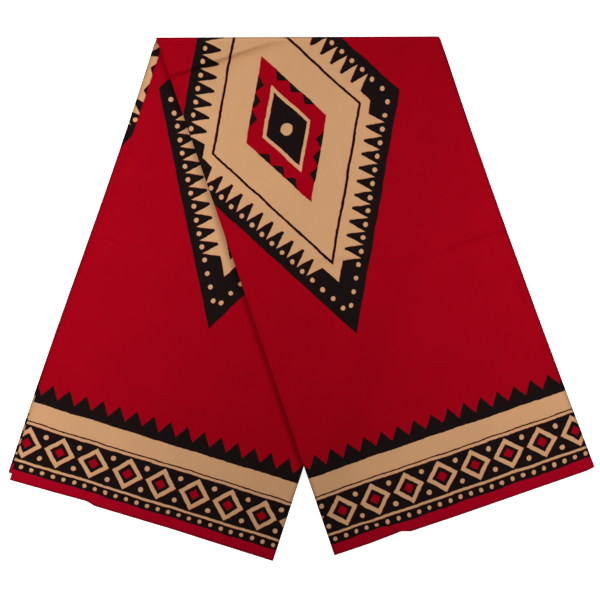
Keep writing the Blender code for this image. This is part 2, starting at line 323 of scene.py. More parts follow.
def turnPlaces(angle, columns, depth, leftInset=0.0):
    # round the top fold, from the front leg, 0, to the back leg, pi
    radius = bundle["legGap"] / 2 + depth
    y = foldCentre[0] + radius * np.sin(angle)[:, None]
    z = foldCentre[1] + radius * np.cos(angle)[:, None]
    toBack = smoothStep(angle / math.pi)[:, None]
    ends = []
    for side in ("left", "right"):
        onFront, onBack = [math.tan(math.radians(leg[side]["slant"])) for leg in (frontLeg, backLeg)]
        lean = (1 - toBack) * onFront + toBack * onBack
        ends.append(frontLeg[side]["foldX"] + (bundle["foldY"] - y) * lean)
    left, right = ends[0] + leftInset, ends[1]
    trim = columns["trim"]
    x = left + trim + columns["share"] * (right - left - 2 * trim) + columns["aside"]
    return np.stack([x, np.broadcast_to(y, x.shape), np.broadcast_to(z, x.shape)], axis=-1)


# the three stretches of cloth that show
sheets = {
    "spacing": 0.0035, "farSpacing": 0.0075,
    # closer rows where creases cross: from and to, in metres down from the top fold, and their spacing
    "closeRows": {
        "front": [(0.0, 0.062, 0.0009), (0.205, 0.275, 0.0014), (0.548, 0.575, 0.0016)],
        "back": [(0.225, 0.285, 0.0016), (0.480, 0.575, 0.0022)],
    },
    "rollRadius": plyPitch,          # side edges turn under, two plies deep
    "rollSteps": 6,
    "tail": (0.0015, 0.0045),
    "nearEdge": (0.0011, 0.0024, 0.0040, 0.0058, 0.0078, 0.0100, 0.0126),
    "nearHem": 0.0008,
    "easeShare": 0.3,                # of the far leg, over which its print falls in with its own hem
    "turnSteps": 14,
}


def sheetColumns():
    width = bundle["foldRight"] - bundle["foldLeft"]
    near = [x / width for x in sheets["nearEdge"]]
    count = round((1 - 2 * near[-1]) * width / sheets["spacing"])
    middle = list(np.linspace(near[-1], 1 - near[-1], count))
    inner = [0.0, *near[:-1], *middle, *[1 - x for x in near[-2::-1]], 1.0]
    radius = sheets["rollRadius"]
    angles = [math.pi * (i + 1) / sheets["rollSteps"] for i in range(sheets["rollSteps"])]
    # share across, metres to the right, how far below the face, and metres of cloth past the edge
    roll = [(radius * math.sin(a), radius * (1 - math.cos(a)), radius * a) for a in angles]
    roll += [(-t, 2 * radius, math.pi * radius + t) for t in sheets["tail"]]
    rows = [(0.0, -out, drop, -cloth) for out, drop, cloth in roll[::-1]]
    rows += [(share, 0.0, 0.0, 0.0) for share in inner]
    rows += [(1.0, out, drop, cloth) for out, drop, cloth in roll]
    share, aside, drop, cloth = np.array(rows).T
    return {"share": share, "aside": aside, "drop": drop, "cloth": cloth, "trim": radius}


def legRows(spacing, close=()):
    length = bundle["clothWidth"] / 2
    down = np.linspace(0, length, 4000)
    step = np.full_like(down, spacing)
    for start, end, fine in close:
        step = np.where((down >= start) & (down <= end), fine, step)
    passed = np.concatenate([[0], np.cumsum(np.diff(down) / step[1:])])
    rows = np.interp(np.linspace(0, passed[-1], round(passed[-1])), passed, down)
    return np.array([*rows[:-1], length - sheets["nearHem"], length]) / length


def sheetPoints(first, second, facePly, into, uShift):
    # rows run from the first leg's hem to the top fold, round it, and down the second leg; facePly counts
    # plies from the plane between the legs, and into is -1 where the side edges turn under towards it
    columns = sheetColumns()
    flatColumns = dict(columns, aside=np.zeros_like(columns["aside"]))
    depth = facePly * plyPitch + into * columns["drop"]

    def onLeg(name, along):
        leg, height, creases = legs[name]
        plan = legPlan(leg, along, columns)
        lift = height(plan, depth) + (selvedgeCurl(leg, along, columns) if name == first else 0.0)
        places = clothPlace(leg, legPlan(leg, along, flatColumns, hemSteps=False))
        places[..., 0] += columns["cloth"]
        paintedShades = np.stack([creaseShape(creases, plan)[1], rimShades(leg, along, columns)], axis=-1)
        return np.concatenate([plan, lift[..., None]], axis=-1), places, paintedShades

    nearRows = legRows(sheets["spacing"], sheets["closeRows"].get(first, ()))[::-1]
    points, places, paintedShades = onLeg(first, nearRows)
    if second:
        turned = np.linspace(0, math.pi, sheets["turnSteps"] + 2)[1:-1]
        angles, backLegName = (turned, second) if first == "front" else (math.pi - turned, first)
        atFold = np.interp(0.0, *legs[backLegName][0]["inset"])
        turn = turnPlaces(angles, columns, depth, atFold * smoothStep(angles / math.pi)[:, None])
        radius = bundle["legGap"] / 2 + facePly * plyPitch
        turnCloth = places[-1] + (radius * turned)[:, None, None] * np.array([0.0, 1.0])
        # painted shade on the outside of the top fold, and along its sides
        outmost = smoothStep((np.sin(angles) - surface["turnShadeFrom"]) / (1 - surface["turnShadeFrom"]))
        atSides = rimShades(legs[first][0], np.zeros(len(angles)), columns)
        turnEdgeShade = np.maximum(surface["turnShadeDepth"] * outmost[:, None], atSides)
        turnShades = np.stack([np.zeros_like(turnEdgeShade), turnEdgeShade], axis=-1)

        farRows = legRows(sheets["farSpacing"])
        farPoints, farPlaces, farShades = onLeg(second, farRows)
        farPlaces[..., 1] = bundle["clothWidth"] - farPlaces[..., 1]
        # the print runs on round the fold, and meets the far hem's own line further down
        gap = places[-1] + np.array([0, math.pi * radius]) - farPlaces[0]
        farPlaces = farPlaces + gap * (1 - smoothStep(farRows / sheets["easeShare"]))[:, None, None]
        points = np.concatenate([points, turn, farPoints])
        places = np.concatenate([places, turnCloth, farPlaces])
        paintedShades = np.concatenate([paintedShades, turnShades, farShades])
    places[..., 0] += uShift
    return points, places, paintedShades


def addObject(name, data):
    thing = bpy.data.objects.new(name, data)
    bpy.context.scene.collection.objects.link(thing)
    return thing


def gridMesh(name, points, places, paintedShades):
    rows, columns = points.shape[:2]
    index = np.arange(rows * columns).reshape(rows, columns)
    quads = np.stack([index[:-1, :-1], index[:-1, 1:], index[1:, 1:], index[1:, :-1]], axis=-1).reshape(-1, 4)
    mesh = bpy.data.meshes.new(name)
    mesh.from_pydata(tiltTop(points).reshape(-1, 3).tolist(), [], quads.tolist())
    cloth = mesh.uv_layers.new(name="cloth")
    cloth.uv.foreach_set("vector", places.reshape(-1, 2)[quads.ravel()].astype(np.float32).ravel())
    # painted shade, one value at each point: along the creases, and at the edges and the top fold
    for column, paintedShade in enumerate(("creaseShade", "rimShade")):
        shade = mesh.attributes.new(paintedShade, "FLOAT", "POINT")
        shade.data.foreach_set("value", paintedShades[..., column].astype(np.float32).ravel())
    return addObject(name, mesh)


def asPlainMesh(piece, sharpFrom):
    # the piece with its modifiers worked in, smooth but for edges sharper than an angle
    graph = bpy.context.evaluated_depsgraph_get()
    mesh = bpy.data.meshes.new_from_object(piece.evaluated_get(graph), depsgraph=graph)
    piece.modifiers.clear()
    piece.data = mesh
    mesh.name = piece.name
    mesh.shade_smooth()
    mesh.set_sharp_from_angle(angle=math.radians(sharpFrom))
    return mesh


def thicken(piece, material):
    wall = piece.modifiers.new("Wall", "SOLIDIFY")
    wall.thickness = bundle["clothThick"]
    wall.offset = -1
    mesh = asPlainMesh(piece, sharpFrom=50)
    mesh.materials.clear()
    mesh.materials.append(material)


# printed design: bands along the hem, in metres from the selvedge's edge
border = {
    "selvedge": 0.0125,
    "dotBand": 0.0225, "dotPitch": 0.0125, "dotSize": 0.0025,
    "lowLine": 0.0255,
    "chainBand": 0.0660, "chainPitch": 0.0400,
    "chainOuter": 0.0184, "chainInner": 0.0116, "chainCore": 0.0060,
    "chainDot": 0.0029, "chainDotOff": 0.0126,
    "creamBand": 0.0925, "thinLine": 0.0700, "thinHalf": 0.0007,
    "sawBase": 0.1020, "sawHeight": 0.0150, "sawPitch": 0.0200,
    "fieldFrom": 0.1210,     # the medallions may begin here
}
# large lozenges on the red ground, in rows that are half a step apart
medallion = {
    "pitch": 0.360,
    "rowsAt": (0.475, 0.790),        # each row's middle line, from the first hem
    "halfWidth": 0.135,
    "halfLength": 0.245,
    "teeth": 18,                     # places for teeth and dots along each side
    "toothFrom": 2, "toothTo": 13,   # the corners stay plain
    "dotFrom": 0.5, "dotTo": 16.5,
    "outer": 0.0300,                 # black band, with the teeth's tips this far in:
    "tipIn": 0.0100, "toothHalf": 0.42, "overlap": 0.002,
    "dotIn": 0.0115, "dotSize": 0.0028,
    "lineFrom": 0.0400, "lineTo": 0.0428,
    "redFrom": 0.0760, "redTo": 0.0930, "redSaw": 0.0080,
    "redTeeth": 14, "redToothFrom": 3, "redToothTo": 6,
    "coreFrom": 0.0970, "coreDot": 0.0070,
}
ink = {
    "red": (0.264, 0.0003, 0.0058, 1),
    "selvedge": (0.288, 0.0006, 0.0096, 1),
    "cream": (0.494, 0.268, 0.133, 1),
    "black": (0.0078, 0.0044, 0.0043, 1),
    "edge": 0.00025,         # how softly a colour ends
    "offRegister": (0.00035, -0.000245, 0),  # the cream ink against the black
    "wander": 0.0011, "wanderSize": 0.030,
    "nibble": 0.0005, "nibbleSize": 0.0055,
}


def addNode(tree, kind, **settings):
    node = tree.nodes.new(kind)
    for name, value in settings.items():
        setattr(node, name, value)
    return node


def feed(tree, socket, value):
    if isinstance(value, bpy.types.NodeSocket):
        tree.links.new(value, socket)
    else:
        socket.default_value = value


def feedAll(tree, node, values):
    # inputs by name
    for name, value in values.items():
        feed(tree, node.inputs[name], value)
    return node.outputs


def wired(tree, kind, values, **settings):
    # a new node whose open inputs take the values in turn
    node = addNode(tree, kind, **settings)
    for socket, value in zip([s for s in node.inputs if s.enabled], values):
        feed(tree, socket, value)
    return [s for s in node.outputs if s.enabled]


def maths(tree, operation, *values, clamp=False):
    return wired(tree, "ShaderNodeMath", values, operation=operation, use_clamp=clamp)[0]


def vectorMaths(tree, operation, *values):
    return wired(tree, "ShaderNodeVectorMath", values, operation=operation)[0]


def clouds(tree, place, size, detail):
    # soft noise, as a value and as a colour
    return wired(tree, "ShaderNodeTexNoise", (place, 1 / size, detail), noise_dimensions="2D")


def newTree(name, kind, inputs, outputs):
    # a node tree, what comes into it, and the sockets that take its results
    tree = bpy.data.node_groups.new(name, kind)
    for way, sockets in (("INPUT", inputs), ("OUTPUT", outputs)):
        for socket, value in sockets.items():
            tree.interface.new_socket(socket, in_out=way, socket_type="NodeSocket" + value)
    return tree, addNode(tree, "NodeGroupInput").outputs, addNode(tree, "NodeGroupOutput").inputs


def past(tree, value, edge, way=1):
    # 1 where value is past the edge, or for way -1 where it isn't yet
    sharp = way / ink["edge"]
    if isinstance(edge, float):
        return maths(tree, "MULTIPLY_ADD", value, sharp, 0.5 - edge * sharp, clamp=True)
    return maths(tree, "MULTIPLY_ADD", maths(tree, "SUBTRACT", value, edge), sharp, 0.5, clamp=True)


def within(tree, value, edge):
    return past(tree, value, edge, way=-1)


def between(tree, value, low, high):
    return maths(tree, "MULTIPLY", past(tree, value, low), within(tree, value, high))


def allOf(tree, first, *others):
    for other in others:
        first = maths(tree, "MULTIPLY", first, other)
    return first


def anyOf(tree, first, *others):
    for other in others:
        first = maths(tree, "MAXIMUM", first, other)
    return first


def without(tree, mask, taken):
    return maths(tree, "SUBTRACT", mask, taken, clamp=True)


def repeated(tree, value, pitch, start=0.0):
    # distance to the nearest of a row of places
    return maths(tree, "PINGPONG", maths(tree, "SUBTRACT", value, start), pitch / 2)


def distance(tree, a, b):
    square = maths(tree, "MULTIPLY_ADD", b, b, maths(tree, "MULTIPLY", a, a))
    return maths(tree, "SQRT", square)


def printBorder(tree, u, hem):
    b = border
    dotUp = maths(tree, "SUBTRACT", hem, (b["selvedge"] + b["dotBand"]) / 2)
    dots = within(tree, distance(tree, repeated(tree, u, b["dotPitch"]), dotUp), b["dotSize"])
    dotBand = between(tree, hem, b["selvedge"], b["dotBand"])
    lowLine = between(tree, hem, b["dotBand"], b["lowLine"])

    # a chain of lozenges, with small dots in the corners between them
    middle = (b["lowLine"] + b["chainBand"]) / 2
    across = repeated(tree, u, b["chainPitch"])
    up = maths(tree, "ABSOLUTE", maths(tree, "SUBTRACT", hem, middle))
    lozenge = maths(tree, "ADD", across, up)
    ring = between(tree, lozenge, b["chainInner"], b["chainOuter"])
    core = within(tree, lozenge, b["chainCore"])
    corner = within(tree, distance(tree, maths(tree, "SUBTRACT", across, b["chainPitch"] / 2),
                                   maths(tree, "SUBTRACT", up, b["chainDotOff"])), b["chainDot"])
    chainBand = between(tree, hem, b["lowLine"], b["chainBand"])

    # a thin line in the plain cream band, and a row of saw teeth on the red
    creamBand = between(tree, hem, b["chainBand"], b["creamBand"])
    thinLine = between(tree, hem, b["thinLine"] - b["thinHalf"], b["thinLine"] + b["thinHalf"])
    sawTop = maths(tree, "MULTIPLY_ADD", repeated(tree, u, b["sawPitch"]),
                   b["sawHeight"] / (b["sawPitch"] / 2), b["sawBase"])
    saw = allOf(tree, past(tree, hem, b["creamBand"]), within(tree, hem, sawTop))

    creamChain = allOf(tree, chainBand, anyOf(tree, ring, corner))
    cream = anyOf(tree, allOf(tree, dotBand, dots), lowLine, creamChain, without(tree, creamBand, thinLine))
    chainBlack = without(tree, chainBand, anyOf(tree, creamChain, core))
    black = anyOf(tree, without(tree, dotBand, dots), chainBlack, thinLine, saw)
    return black, cream


def printMedallions(tree, u, v):
    m = medallion
    halfWidth, halfLength = m["halfWidth"], m["halfLength"]
    side = math.hypot(halfWidth, halfLength)
    depthScale = halfWidth * halfLength / side
    rows = []
    for number, rowMiddle in enumerate(m["rowsAt"]):
        across = repeated(tree, u, m["pitch"], m["pitch"] / 2 * number)
        up = maths(tree, "ABSOLUTE", maths(tree, "SUBTRACT", v, rowMiddle))
        # how far inside the lozenge's nearest side, and how far along that side
        inside = maths(tree, "MULTIPLY_ADD", across, -depthScale / halfWidth, depthScale)
        inside = maths(tree, "MULTIPLY_ADD", up, -depthScale / halfLength, inside)
        along = maths(tree, "MULTIPLY_ADD", across, -halfWidth / side, halfWidth**2 / side)
        along = maths(tree, "MULTIPLY_ADD", up, halfLength / side, along)
        rows.append((inside, along, distance(tree, across, up)))
    (insideA, alongA, centreA), (insideB, alongB, centreB) = rows
    inside = maths(tree, "MAXIMUM", insideA, insideB)
    centre = maths(tree, "MINIMUM", centreA, centreB)
    isA = maths(tree, "GREATER_THAN", insideA, insideB)
    gap = maths(tree, "SUBTRACT", alongA, alongB)
    along = maths(tree, "MULTIPLY_ADD", gap, isA, alongB)

    pitch = side / m["teeth"]
    beside = repeated(tree, along, pitch, pitch / 2)
    reach = (m["outer"] - m["tipIn"]) / (m["toothHalf"] * pitch)
    toothEdge = maths(tree, "MULTIPLY_ADD", beside, reach, m["tipIn"])
    # the teeth are cream, and grow out of the cream inner field
    toothSpan = between(tree, along, m["toothFrom"] * pitch, m["toothTo"] * pitch)
    tooth = allOf(tree, past(tree, inside, toothEdge), toothSpan)
    tooth = anyOf(tree, tooth, past(tree, inside, m["outer"]))
    dotOff = distance(tree, repeated(tree, along, pitch), maths(tree, "SUBTRACT", inside, m["dotIn"]))
    dot = allOf(tree, within(tree, dotOff, m["dotSize"]),
                between(tree, along, m["dotFrom"] * pitch, m["dotTo"] * pitch))
    line = between(tree, inside, m["lineFrom"], m["lineTo"])
    redPitch = side / m["redTeeth"]
    redSaw = maths(tree, "MULTIPLY_ADD", repeated(tree, along, redPitch),
                   m["redSaw"] / (redPitch / 2), m["redFrom"])
    redBand = between(tree, inside, m["redFrom"], m["redTo"])
    redSpan = between(tree, along, m["redToothFrom"] * redPitch, m["redToothTo"] * redPitch)
    redBlack = allOf(tree, redBand, within(tree, inside, redSaw), redSpan)
    core = past(tree, inside, m["coreFrom"])
    coreDot = within(tree, centre, m["coreDot"])

    band = between(tree, inside, 0.0, m["outer"] + m["overlap"])
    cream = anyOf(tree, allOf(tree, tooth, within(tree, inside, m["redFrom"])), dot,
                  between(tree, inside, m["redTo"], m["coreFrom"]), coreDot)
    cream = without(tree, cream, line)
    return without(tree, anyOf(tree, band, line, redBlack, core), cream), cream


def printGroup():
    # masks of the black and the cream ink, from the cloth's own measure
    tree, given, result = newTree("printedDesign", "ShaderNodeTree", {"Place": "Vector"},
                                  {"Black": "Float", "Cream": "Float", "Selvedge": "Float"})
    u, v = wired(tree, "ShaderNodeSeparateXYZ", [given["Place"]])[:2]
    hem = maths(tree, "PINGPONG", v, bundle["clothWidth"] / 2)
    field = past(tree, hem, border["fieldFrom"])
    masks = zip(("Black", "Cream"), printBorder(tree, u, hem), printMedallions(tree, u, v))
    for name, atBorder, inField in masks:
        feed(tree, result[name], anyOf(tree, atBorder, allOf(tree, field, inField)))
    feed(tree, result["Selvedge"], within(tree, hem, border["selvedge"]))
    return tree


def wanderGroup():
    # a hand-cut block's uneven outlines: the place is shifted a little
    tree, given, result = newTree("handCut", "ShaderNodeTree", {"Place": "Vector"}, {"Place": "Vector"})
    place = given["Place"]
    for reach, size in (("wander", "wanderSize"), ("nibble", "nibbleSize")):
        shift = vectorMaths(tree, "SUBTRACT", clouds(tree, given["Place"], ink[size], 1)[1], (0.5, 0.5, 0.5))
        place = vectorMaths(tree, "MULTIPLY_ADD", shift, (2 * ink[reach], 2 * ink[reach], 0), place)
    feed(tree, result["Place"], place)
    return tree


weave = {
    "threadPitch": 0.00045, "threadHeight": 0.35, "threadTone": 0.03,
    "slubLength": 0.012, "slubWidth": 0.0006, "slubTone": 0.06,
    "cloudSize": 0.045, "cloudTone": 0.10,
    "speckSize": 0.0016, "speckContrast": 2.4,
}


def weaveGroup():
    # plain weave: a height for the bump, a tone that makes the colour a little uneven, and a speckle
    # that breaks up the painted shade along the creases
    tree, given, result = newTree("plainWeave", "ShaderNodeTree", {"Place": "Vector"},
                                  {"Height": "Float", "Tone": "Float", "ShadeSpeckle": "Float"})
    place = given["Place"]
    turns = math.pi / weave["threadPitch"]
    checker = maths(tree, "MULTIPLY", *[maths(tree, "SINE", maths(tree, "MULTIPLY", way, turns))
                                        for way in wired(tree, "ShaderNodeSeparateXYZ", [place])[:2]])
    along, across = 1 / weave["slubLength"], 1 / weave["slubWidth"]
    slub = maths(tree, "ADD", *[clouds(tree, vectorMaths(tree, "MULTIPLY", place, scale), 1, 1)[0]
                                for scale in ((along, across, 1), (across, along, 1))])
    feed(tree, result["Height"], maths(tree, "MULTIPLY_ADD", checker, weave["threadHeight"], slub))
    cloud = clouds(tree, place, weave["cloudSize"], 3)[0]
    tone = maths(tree, "MULTIPLY_ADD", cloud, weave["cloudTone"], 1 - weave["cloudTone"])
    tone = maths(tree, "MULTIPLY_ADD", slub, weave["slubTone"], tone)
    feed(tree, result["Tone"], maths(tree, "MULTIPLY_ADD", checker, weave["threadTone"], tone))
    specks = clouds(tree, place, weave["speckSize"], 2)[0]
    contrast = weave["speckContrast"]
    feed(tree, result["ShadeSpeckle"], maths(tree, "MULTIPLY_ADD", specks, contrast, 1 - contrast / 2))
    return tree


groups = {}


def group(tree, name, place):
    return feedAll(tree, addNode(tree, "ShaderNodeGroup", node_tree=groups[name]), {"Place": place})


def mixColour(tree, factor, a, b, blend="MIX"):
    return wired(tree, "ShaderNodeMix", (factor, a, b), data_type="RGBA", blend_type=blend)[0]


def printedCotton(name, roughness, paintedShadeLevel, bump):
    material = bpy.data.materials.new(name)
    material.use_nodes = True
    tree = material.node_tree
    place = addNode(tree, "ShaderNodeUVMap", uv_map="cloth").outputs["UV"]
    cut = group(tree, "handCut", place)["Place"]
    blackPrint = group(tree, "printedDesign", cut)
    creamPrint = group(tree, "printedDesign", vectorMaths(tree, "ADD", cut, ink["offRegister"]))
    threads = group(tree, "plainWeave", place)

    colour = mixColour(tree, blackPrint["Selvedge"], ink["red"], ink["selvedge"])
    colour = mixColour(tree, creamPrint["Cream"], colour, ink["cream"])
    colour = mixColour(tree, blackPrint["Black"], colour, ink["black"])
    # painted shade from the mesh, along the creases and at the edges and the top fold
    creaseShade = addNode(tree, "ShaderNodeAttribute", attribute_name="creaseShade").outputs["Fac"]
    rimShade = addNode(tree, "ShaderNodeAttribute", attribute_name="rimShade").outputs["Fac"]
    # the painted edge shade darkens the whole colour
    tone = maths(tree, "MULTIPLY", threads["Tone"], maths(tree, "SUBTRACT", 1.0, rimShade))
    speckledCreaseShade = maths(tree, "MULTIPLY", creaseShade, threads["ShadeSpeckle"])
    # the creases' painted shade is browner as well as darker
    shade = addNode(tree, "ShaderNodeCombineColor")
    for socket, share in zip(shade.inputs, (1.0, 1.4, 1.9)):
        line = maths(tree, "MULTIPLY_ADD", speckledCreaseShade, -share, paintedShadeLevel, clamp=True)
        feed(tree, socket, maths(tree, "MULTIPLY", tone, line))
    relief = feedAll(tree, addNode(tree, "ShaderNodeBump"), {
        "Strength": bump, "Distance": 0.00008, "Height": threads["Height"]})
    feedAll(tree, tree.nodes["Principled BSDF"], {
        "Base Color": mixColour(tree, 1.0, colour, shade.outputs[0], "MULTIPLY"),
        "Roughness": maths(tree, "MULTIPLY_ADD", blackPrint["Black"], -0.06, roughness),
        "Normal": relief["Normal"],
        "Specular IOR Level": 0.015,
        "Sheen Weight": 0.004,
        "Sheen Roughness": 0.45,
        "Sheen Tint": (1.0, 0.72, 0.70, 1),
    })
    return material


# the hidden plies' edges, which run round both legs and through the top fold as one nest of loops
plyEdges = {
    "spacing": 0.007,
    "closeRings": (0.045, 0.105, 0.0035),    # where the middle crease crosses the front leg's side
    "turnSteps": 10,
    "turnCloth": 0.60,       # where the turn's print is taken from, in metres from the hem
    "reachIn": 0.010,
    "halfThick": 0.45,       # of a ply's pitch
    # the node tree's own inputs
    "stack": {
        "Plies": 14, "FirstPly": 2, "LeastInset": 0.0006, "MostInset": 0.0026, "GroupSize": 3,
        "Stray": 0.00045, "StraySize": 0.05, "PrintShift": 0.9, "Seed": 11,
    },
}


def plainColumns(share):
    share = np.atleast_1d(share)
    return {"share": share, "aside": np.zeros(len(share)), "trim": 0.0}


def plyEdgeLoop():
    # one closed loop at the plane between the legs: leg, place, way outward, side and place on the cloth
    spots = []
    under = {"front": frontLeg, "back": backUnderLeg}

    def addSpots(name, plan, out, side):
        for here in plan:
            spots.append((name, here, out, side, clothPlace(under[name], here)))

    def addSide(name, side, downwards):
        edge = under[name]["right" if side else "left"]
        along = np.linspace(0, 1, round(edge["length"] / plyEdges["spacing"]))
        if name == "front" and not side:
            along = np.union1d(along, np.arange(*plyEdges["closeRings"]))
        plan = legPlan(under[name], along if downwards else along[::-1], plainColumns(side))
        addSpots(name, plan[:, 0], edgeWays(edge)[1] * (1 if side else -1), side)

    def addHem(name, side, rightwards):
        leg = under[name]
        share = np.linspace(0, 1, round(bundle["legWidth"] / plyEdges["spacing"]))[1:-1]
        plan = legPlan(leg, np.array([1.0]), plainColumns(share if rightwards else share[::-1]))
        out = edgeWays(leg["left"])[0] + edgeWays(leg["right"])[0]
        addSpots(name, plan[0], out / np.linalg.norm(out), side)

    def addTurn(side, toBack):
        angles = np.linspace(0, math.pi, plyEdges["turnSteps"] + 2)[1:-1]
        place = (bundle["legWidth"] * side, plyEdges["turnCloth"])
        for angle in angles if toBack else angles[::-1]:
            spots.append(("turn", (side, angle), (1.0 if side else -1.0, 0.0), side, place))

    addSide("front", 0, downwards=False)
    addTurn(0, toBack=True)
    addSide("back", 0, downwards=True)
    addHem("back", 3, rightwards=True)
    addSide("back", 1, downwards=False)
    addTurn(1, toBack=False)
    addSide("front", 1, downwards=True)
    addHem("front", 2, rightwards=False)
    return spots


def plyEdgeRibbon():
    spots = plyEdgeLoop()
    thin = plyEdges["halfThick"] * plyPitch
    reach = plyEdges["reachIn"]
    halfGap = bundle["legGap"] / 2
    # section of a folded edge: metres back from it, and share of the ply's half thickness
    section = [(reach, -1.0), (0.00030, -1.0), (0.00008, -0.7), (0.0, 0.0),
               (0.00008, 0.7), (0.00030, 1.0), (reach, 1.0)]
    mesh = bmesh.new()
    cloth = mesh.loops.layers.uv.new("cloth")
    stackway = mesh.verts.layers.float_vector.new("stackway")
    outward = mesh.verts.layers.float_vector.new("outward")
    side = mesh.verts.layers.int.new("side")
    rings, placesOf = [], {}
    outs = [np.array(spot[2]) for spot in spots]
    count = len(spots)
    for k, (name, here, out, which, place) in enumerate(spots):
        # corners are mitred
        near = outs[k - 1] + outs[(k + 1) % count]
        near = near / np.linalg.norm(near)
        out = near / max(0.5, float(near @ outs[k])) if name != "turn" else np.array(out)
        ring = []
        for back, level in section:
            if name == "turn":
                share, angle = here
                up = np.array([0.0, math.sin(angle), math.cos(angle)])
                base = turnPlaces(np.array([angle]), plainColumns(share), np.array([-halfGap]))[0, 0]
                start = base + up * halfGap
            else:
                plan = here - out * back
                height = legs[name][1]
                low = height(plan, np.zeros(()))
                high = height(plan, np.array(bundle["legHeight"]))
                start = np.array([*plan, low])
                up = np.array([0.0, 0.0, (high - low) / bundle["legHeight"]])
            at = start + up * thin * level
            if name == "turn":
                at = at - np.array([*out, 0.0]) * back
            vert = mesh.verts.new(tiltTop(at))
            vert[stackway] = Vector(up)
            vert[outward] = Vector((*out, 0.0))
            vert[side] = which
            ring.append(vert)
            v = place[1] if name != "back" else bundle["clothWidth"] - place[1]
            placesOf[vert] = (place[0] - out[0] * back, v)
        rings.append(ring)
    for ring, after in zip(rings, rings[1:] + rings[:1]):
        for i in range(len(section)):
            j = (i + 1) % len(section)
            mesh.faces.new((ring[i], ring[j], after[j], after[i]))
    for face in mesh.faces:
        for loop in face.loops:
            loop[cloth].uv = placesOf[loop.vert]
    bmesh.ops.recalc_face_normals(mesh, faces=mesh.faces)
    data = bpy.data.meshes.new("innerPlies")
    mesh.to_mesh(data)
    mesh.free()
    return addObject("innerPlies", data)


def plyStackTree():
    tree, given, result = newTree("plyStack", "GeometryNodeTree", {
        "Ribbon": "Geometry", "Plies": "Int", "FirstPly": "Int", "Pitch": "Float", "LeastInset": "Float",
        "MostInset": "Float", "GroupSize": "Int", "Stray": "Float", "StraySize": "Float",
        "PrintShift": "Float", "Seed": "Int", "Cloth": "Material",
    }, {"Stack": "Geometry"})

    def named(name, kind):
        node = addNode(tree, "GeometryNodeInputNamedAttribute", data_type=kind)
        return feedAll(tree, node, {"Name": name})["Attribute"]

    def store(geometry, name, kind, domain, value):
        node = addNode(tree, "GeometryNodeStoreNamedAttribute", data_type=kind, domain=domain)
        return feedAll(tree, node, {"Geometry": geometry, "Name": name, "Value": value})["Geometry"]

    def chance(low, high, number):
        values = (low, high, number, given["Seed"])
        return wired(tree, "FunctionNodeRandomValue", values, data_type="FLOAT")[0]

    ribbon = wired(tree, "GeometryNodeGeometryToInstance", [given["Ribbon"]])[0]
    copies = feedAll(tree, addNode(tree, "GeometryNodeDuplicateElements", domain="INSTANCE"), {
        "Geometry": ribbon, "Amount": given["Plies"]})
    numbered = store(copies["Geometry"], "ply", "INT", "INSTANCE", copies["Duplicate Index"])
    stack = wired(tree, "GeometryNodeRealizeInstances", [numbered])[0]

    ply, side = named("ply", "INT"), named("side", "INT")
    number = maths(tree, "ADD", ply, given["FirstPly"])
    level = maths(tree, "MULTIPLY", maths(tree, "ADD", number, 0.5), given["Pitch"])
    lift = vectorMaths(tree, "SCALE", named("stackway", "FLOAT_VECTOR"), level)
    # the plies are inset by groups, each a little off its group, and none of them evenly
    grouped = maths(tree, "FLOOR", maths(tree, "DIVIDE", ply, given["GroupSize"]))
    # a random number goes by the group or ply, and by the side
    groupSide, plySide = [maths(tree, "MULTIPLY_ADD", which, 8.0, side) for which in (grouped, ply)]
    groupInset = chance(given["LeastInset"], given["MostInset"], groupSide)
    plyInset = chance(0.0, given["Stray"], plySide)
    position = addNode(tree, "GeometryNodeInputPosition").outputs[0]
    cloud = wired(tree, "ShaderNodeTexNoise", (
        position, maths(tree, "MULTIPLY", ply, 3.7), maths(tree, "DIVIDE", 1.0, given["StraySize"]), 1,
    ), noise_dimensions="4D")[0]
    stray = maths(tree, "MULTIPLY", maths(tree, "SUBTRACT", cloud, 0.5),
                  maths(tree, "MULTIPLY", given["Stray"], 2.0))
    inset = maths(tree, "ADD", maths(tree, "ADD", groupInset, plyInset), stray)
    aside = vectorMaths(tree, "SCALE", named("outward", "FLOAT_VECTOR"), maths(tree, "MULTIPLY", inset, -1.0))
    moved = feedAll(tree, addNode(tree, "GeometryNodeSetPosition"), {
        "Geometry": stack, "Offset": vectorMaths(tree, "ADD", lift, aside)})["Geometry"]

    # every ply shows another part of the print
    shift = wired(tree, "ShaderNodeCombineXYZ", [chance(0.0, given["PrintShift"], ply)])[0]
    printed = vectorMaths(tree, "ADD", named("cloth", "FLOAT_VECTOR"), shift)
    dressed = feedAll(tree, addNode(tree, "GeometryNodeSetMaterial"), {
        "Geometry": store(moved, "cloth", "FLOAT2", "CORNER", printed), "Material": given["Cloth"]})
    feed(tree, result["Stack"], dressed["Geometry"])
    return tree


def runTree(piece, tree, values):
    modifier = piece.modifiers.new(tree.name, "NODES")
    modifier.node_group = tree
    for item in tree.interface.items_tree:
        if item.item_type == "SOCKET" and item.in_out == "INPUT" and item.name in values:
            modifier[item.identifier] = values[item.name]
    asPlainMesh(piece, sharpFrom=60)


groups["printedDesign"] = printGroup()
groups["handCut"] = wanderGroup()
groups["plainWeave"] = weaveGroup()
faceCotton = printedCotton("printedCottonFace", roughness=0.80, paintedShadeLevel=1.0, bump=0.35)
# the hidden plies' copy of the print is painted a little darker, as painted shade inside the stack
layerCotton = printedCotton("printedCottonLayers", roughness=0.86, paintedShadeLevel=0.92, bump=0.45)
print("materials are ready")

# each sheet's legs, the ply that its face is at, the way its side edges turn under, and its print's shift
outerCloth = gridMesh("outerCloth", *sheetPoints("front", "backUnder", bundle["plies"], -1, 0.255))
thicken(outerCloth, faceCotton)
print("outer cloth:", len(outerCloth.data.polygons), "faces")

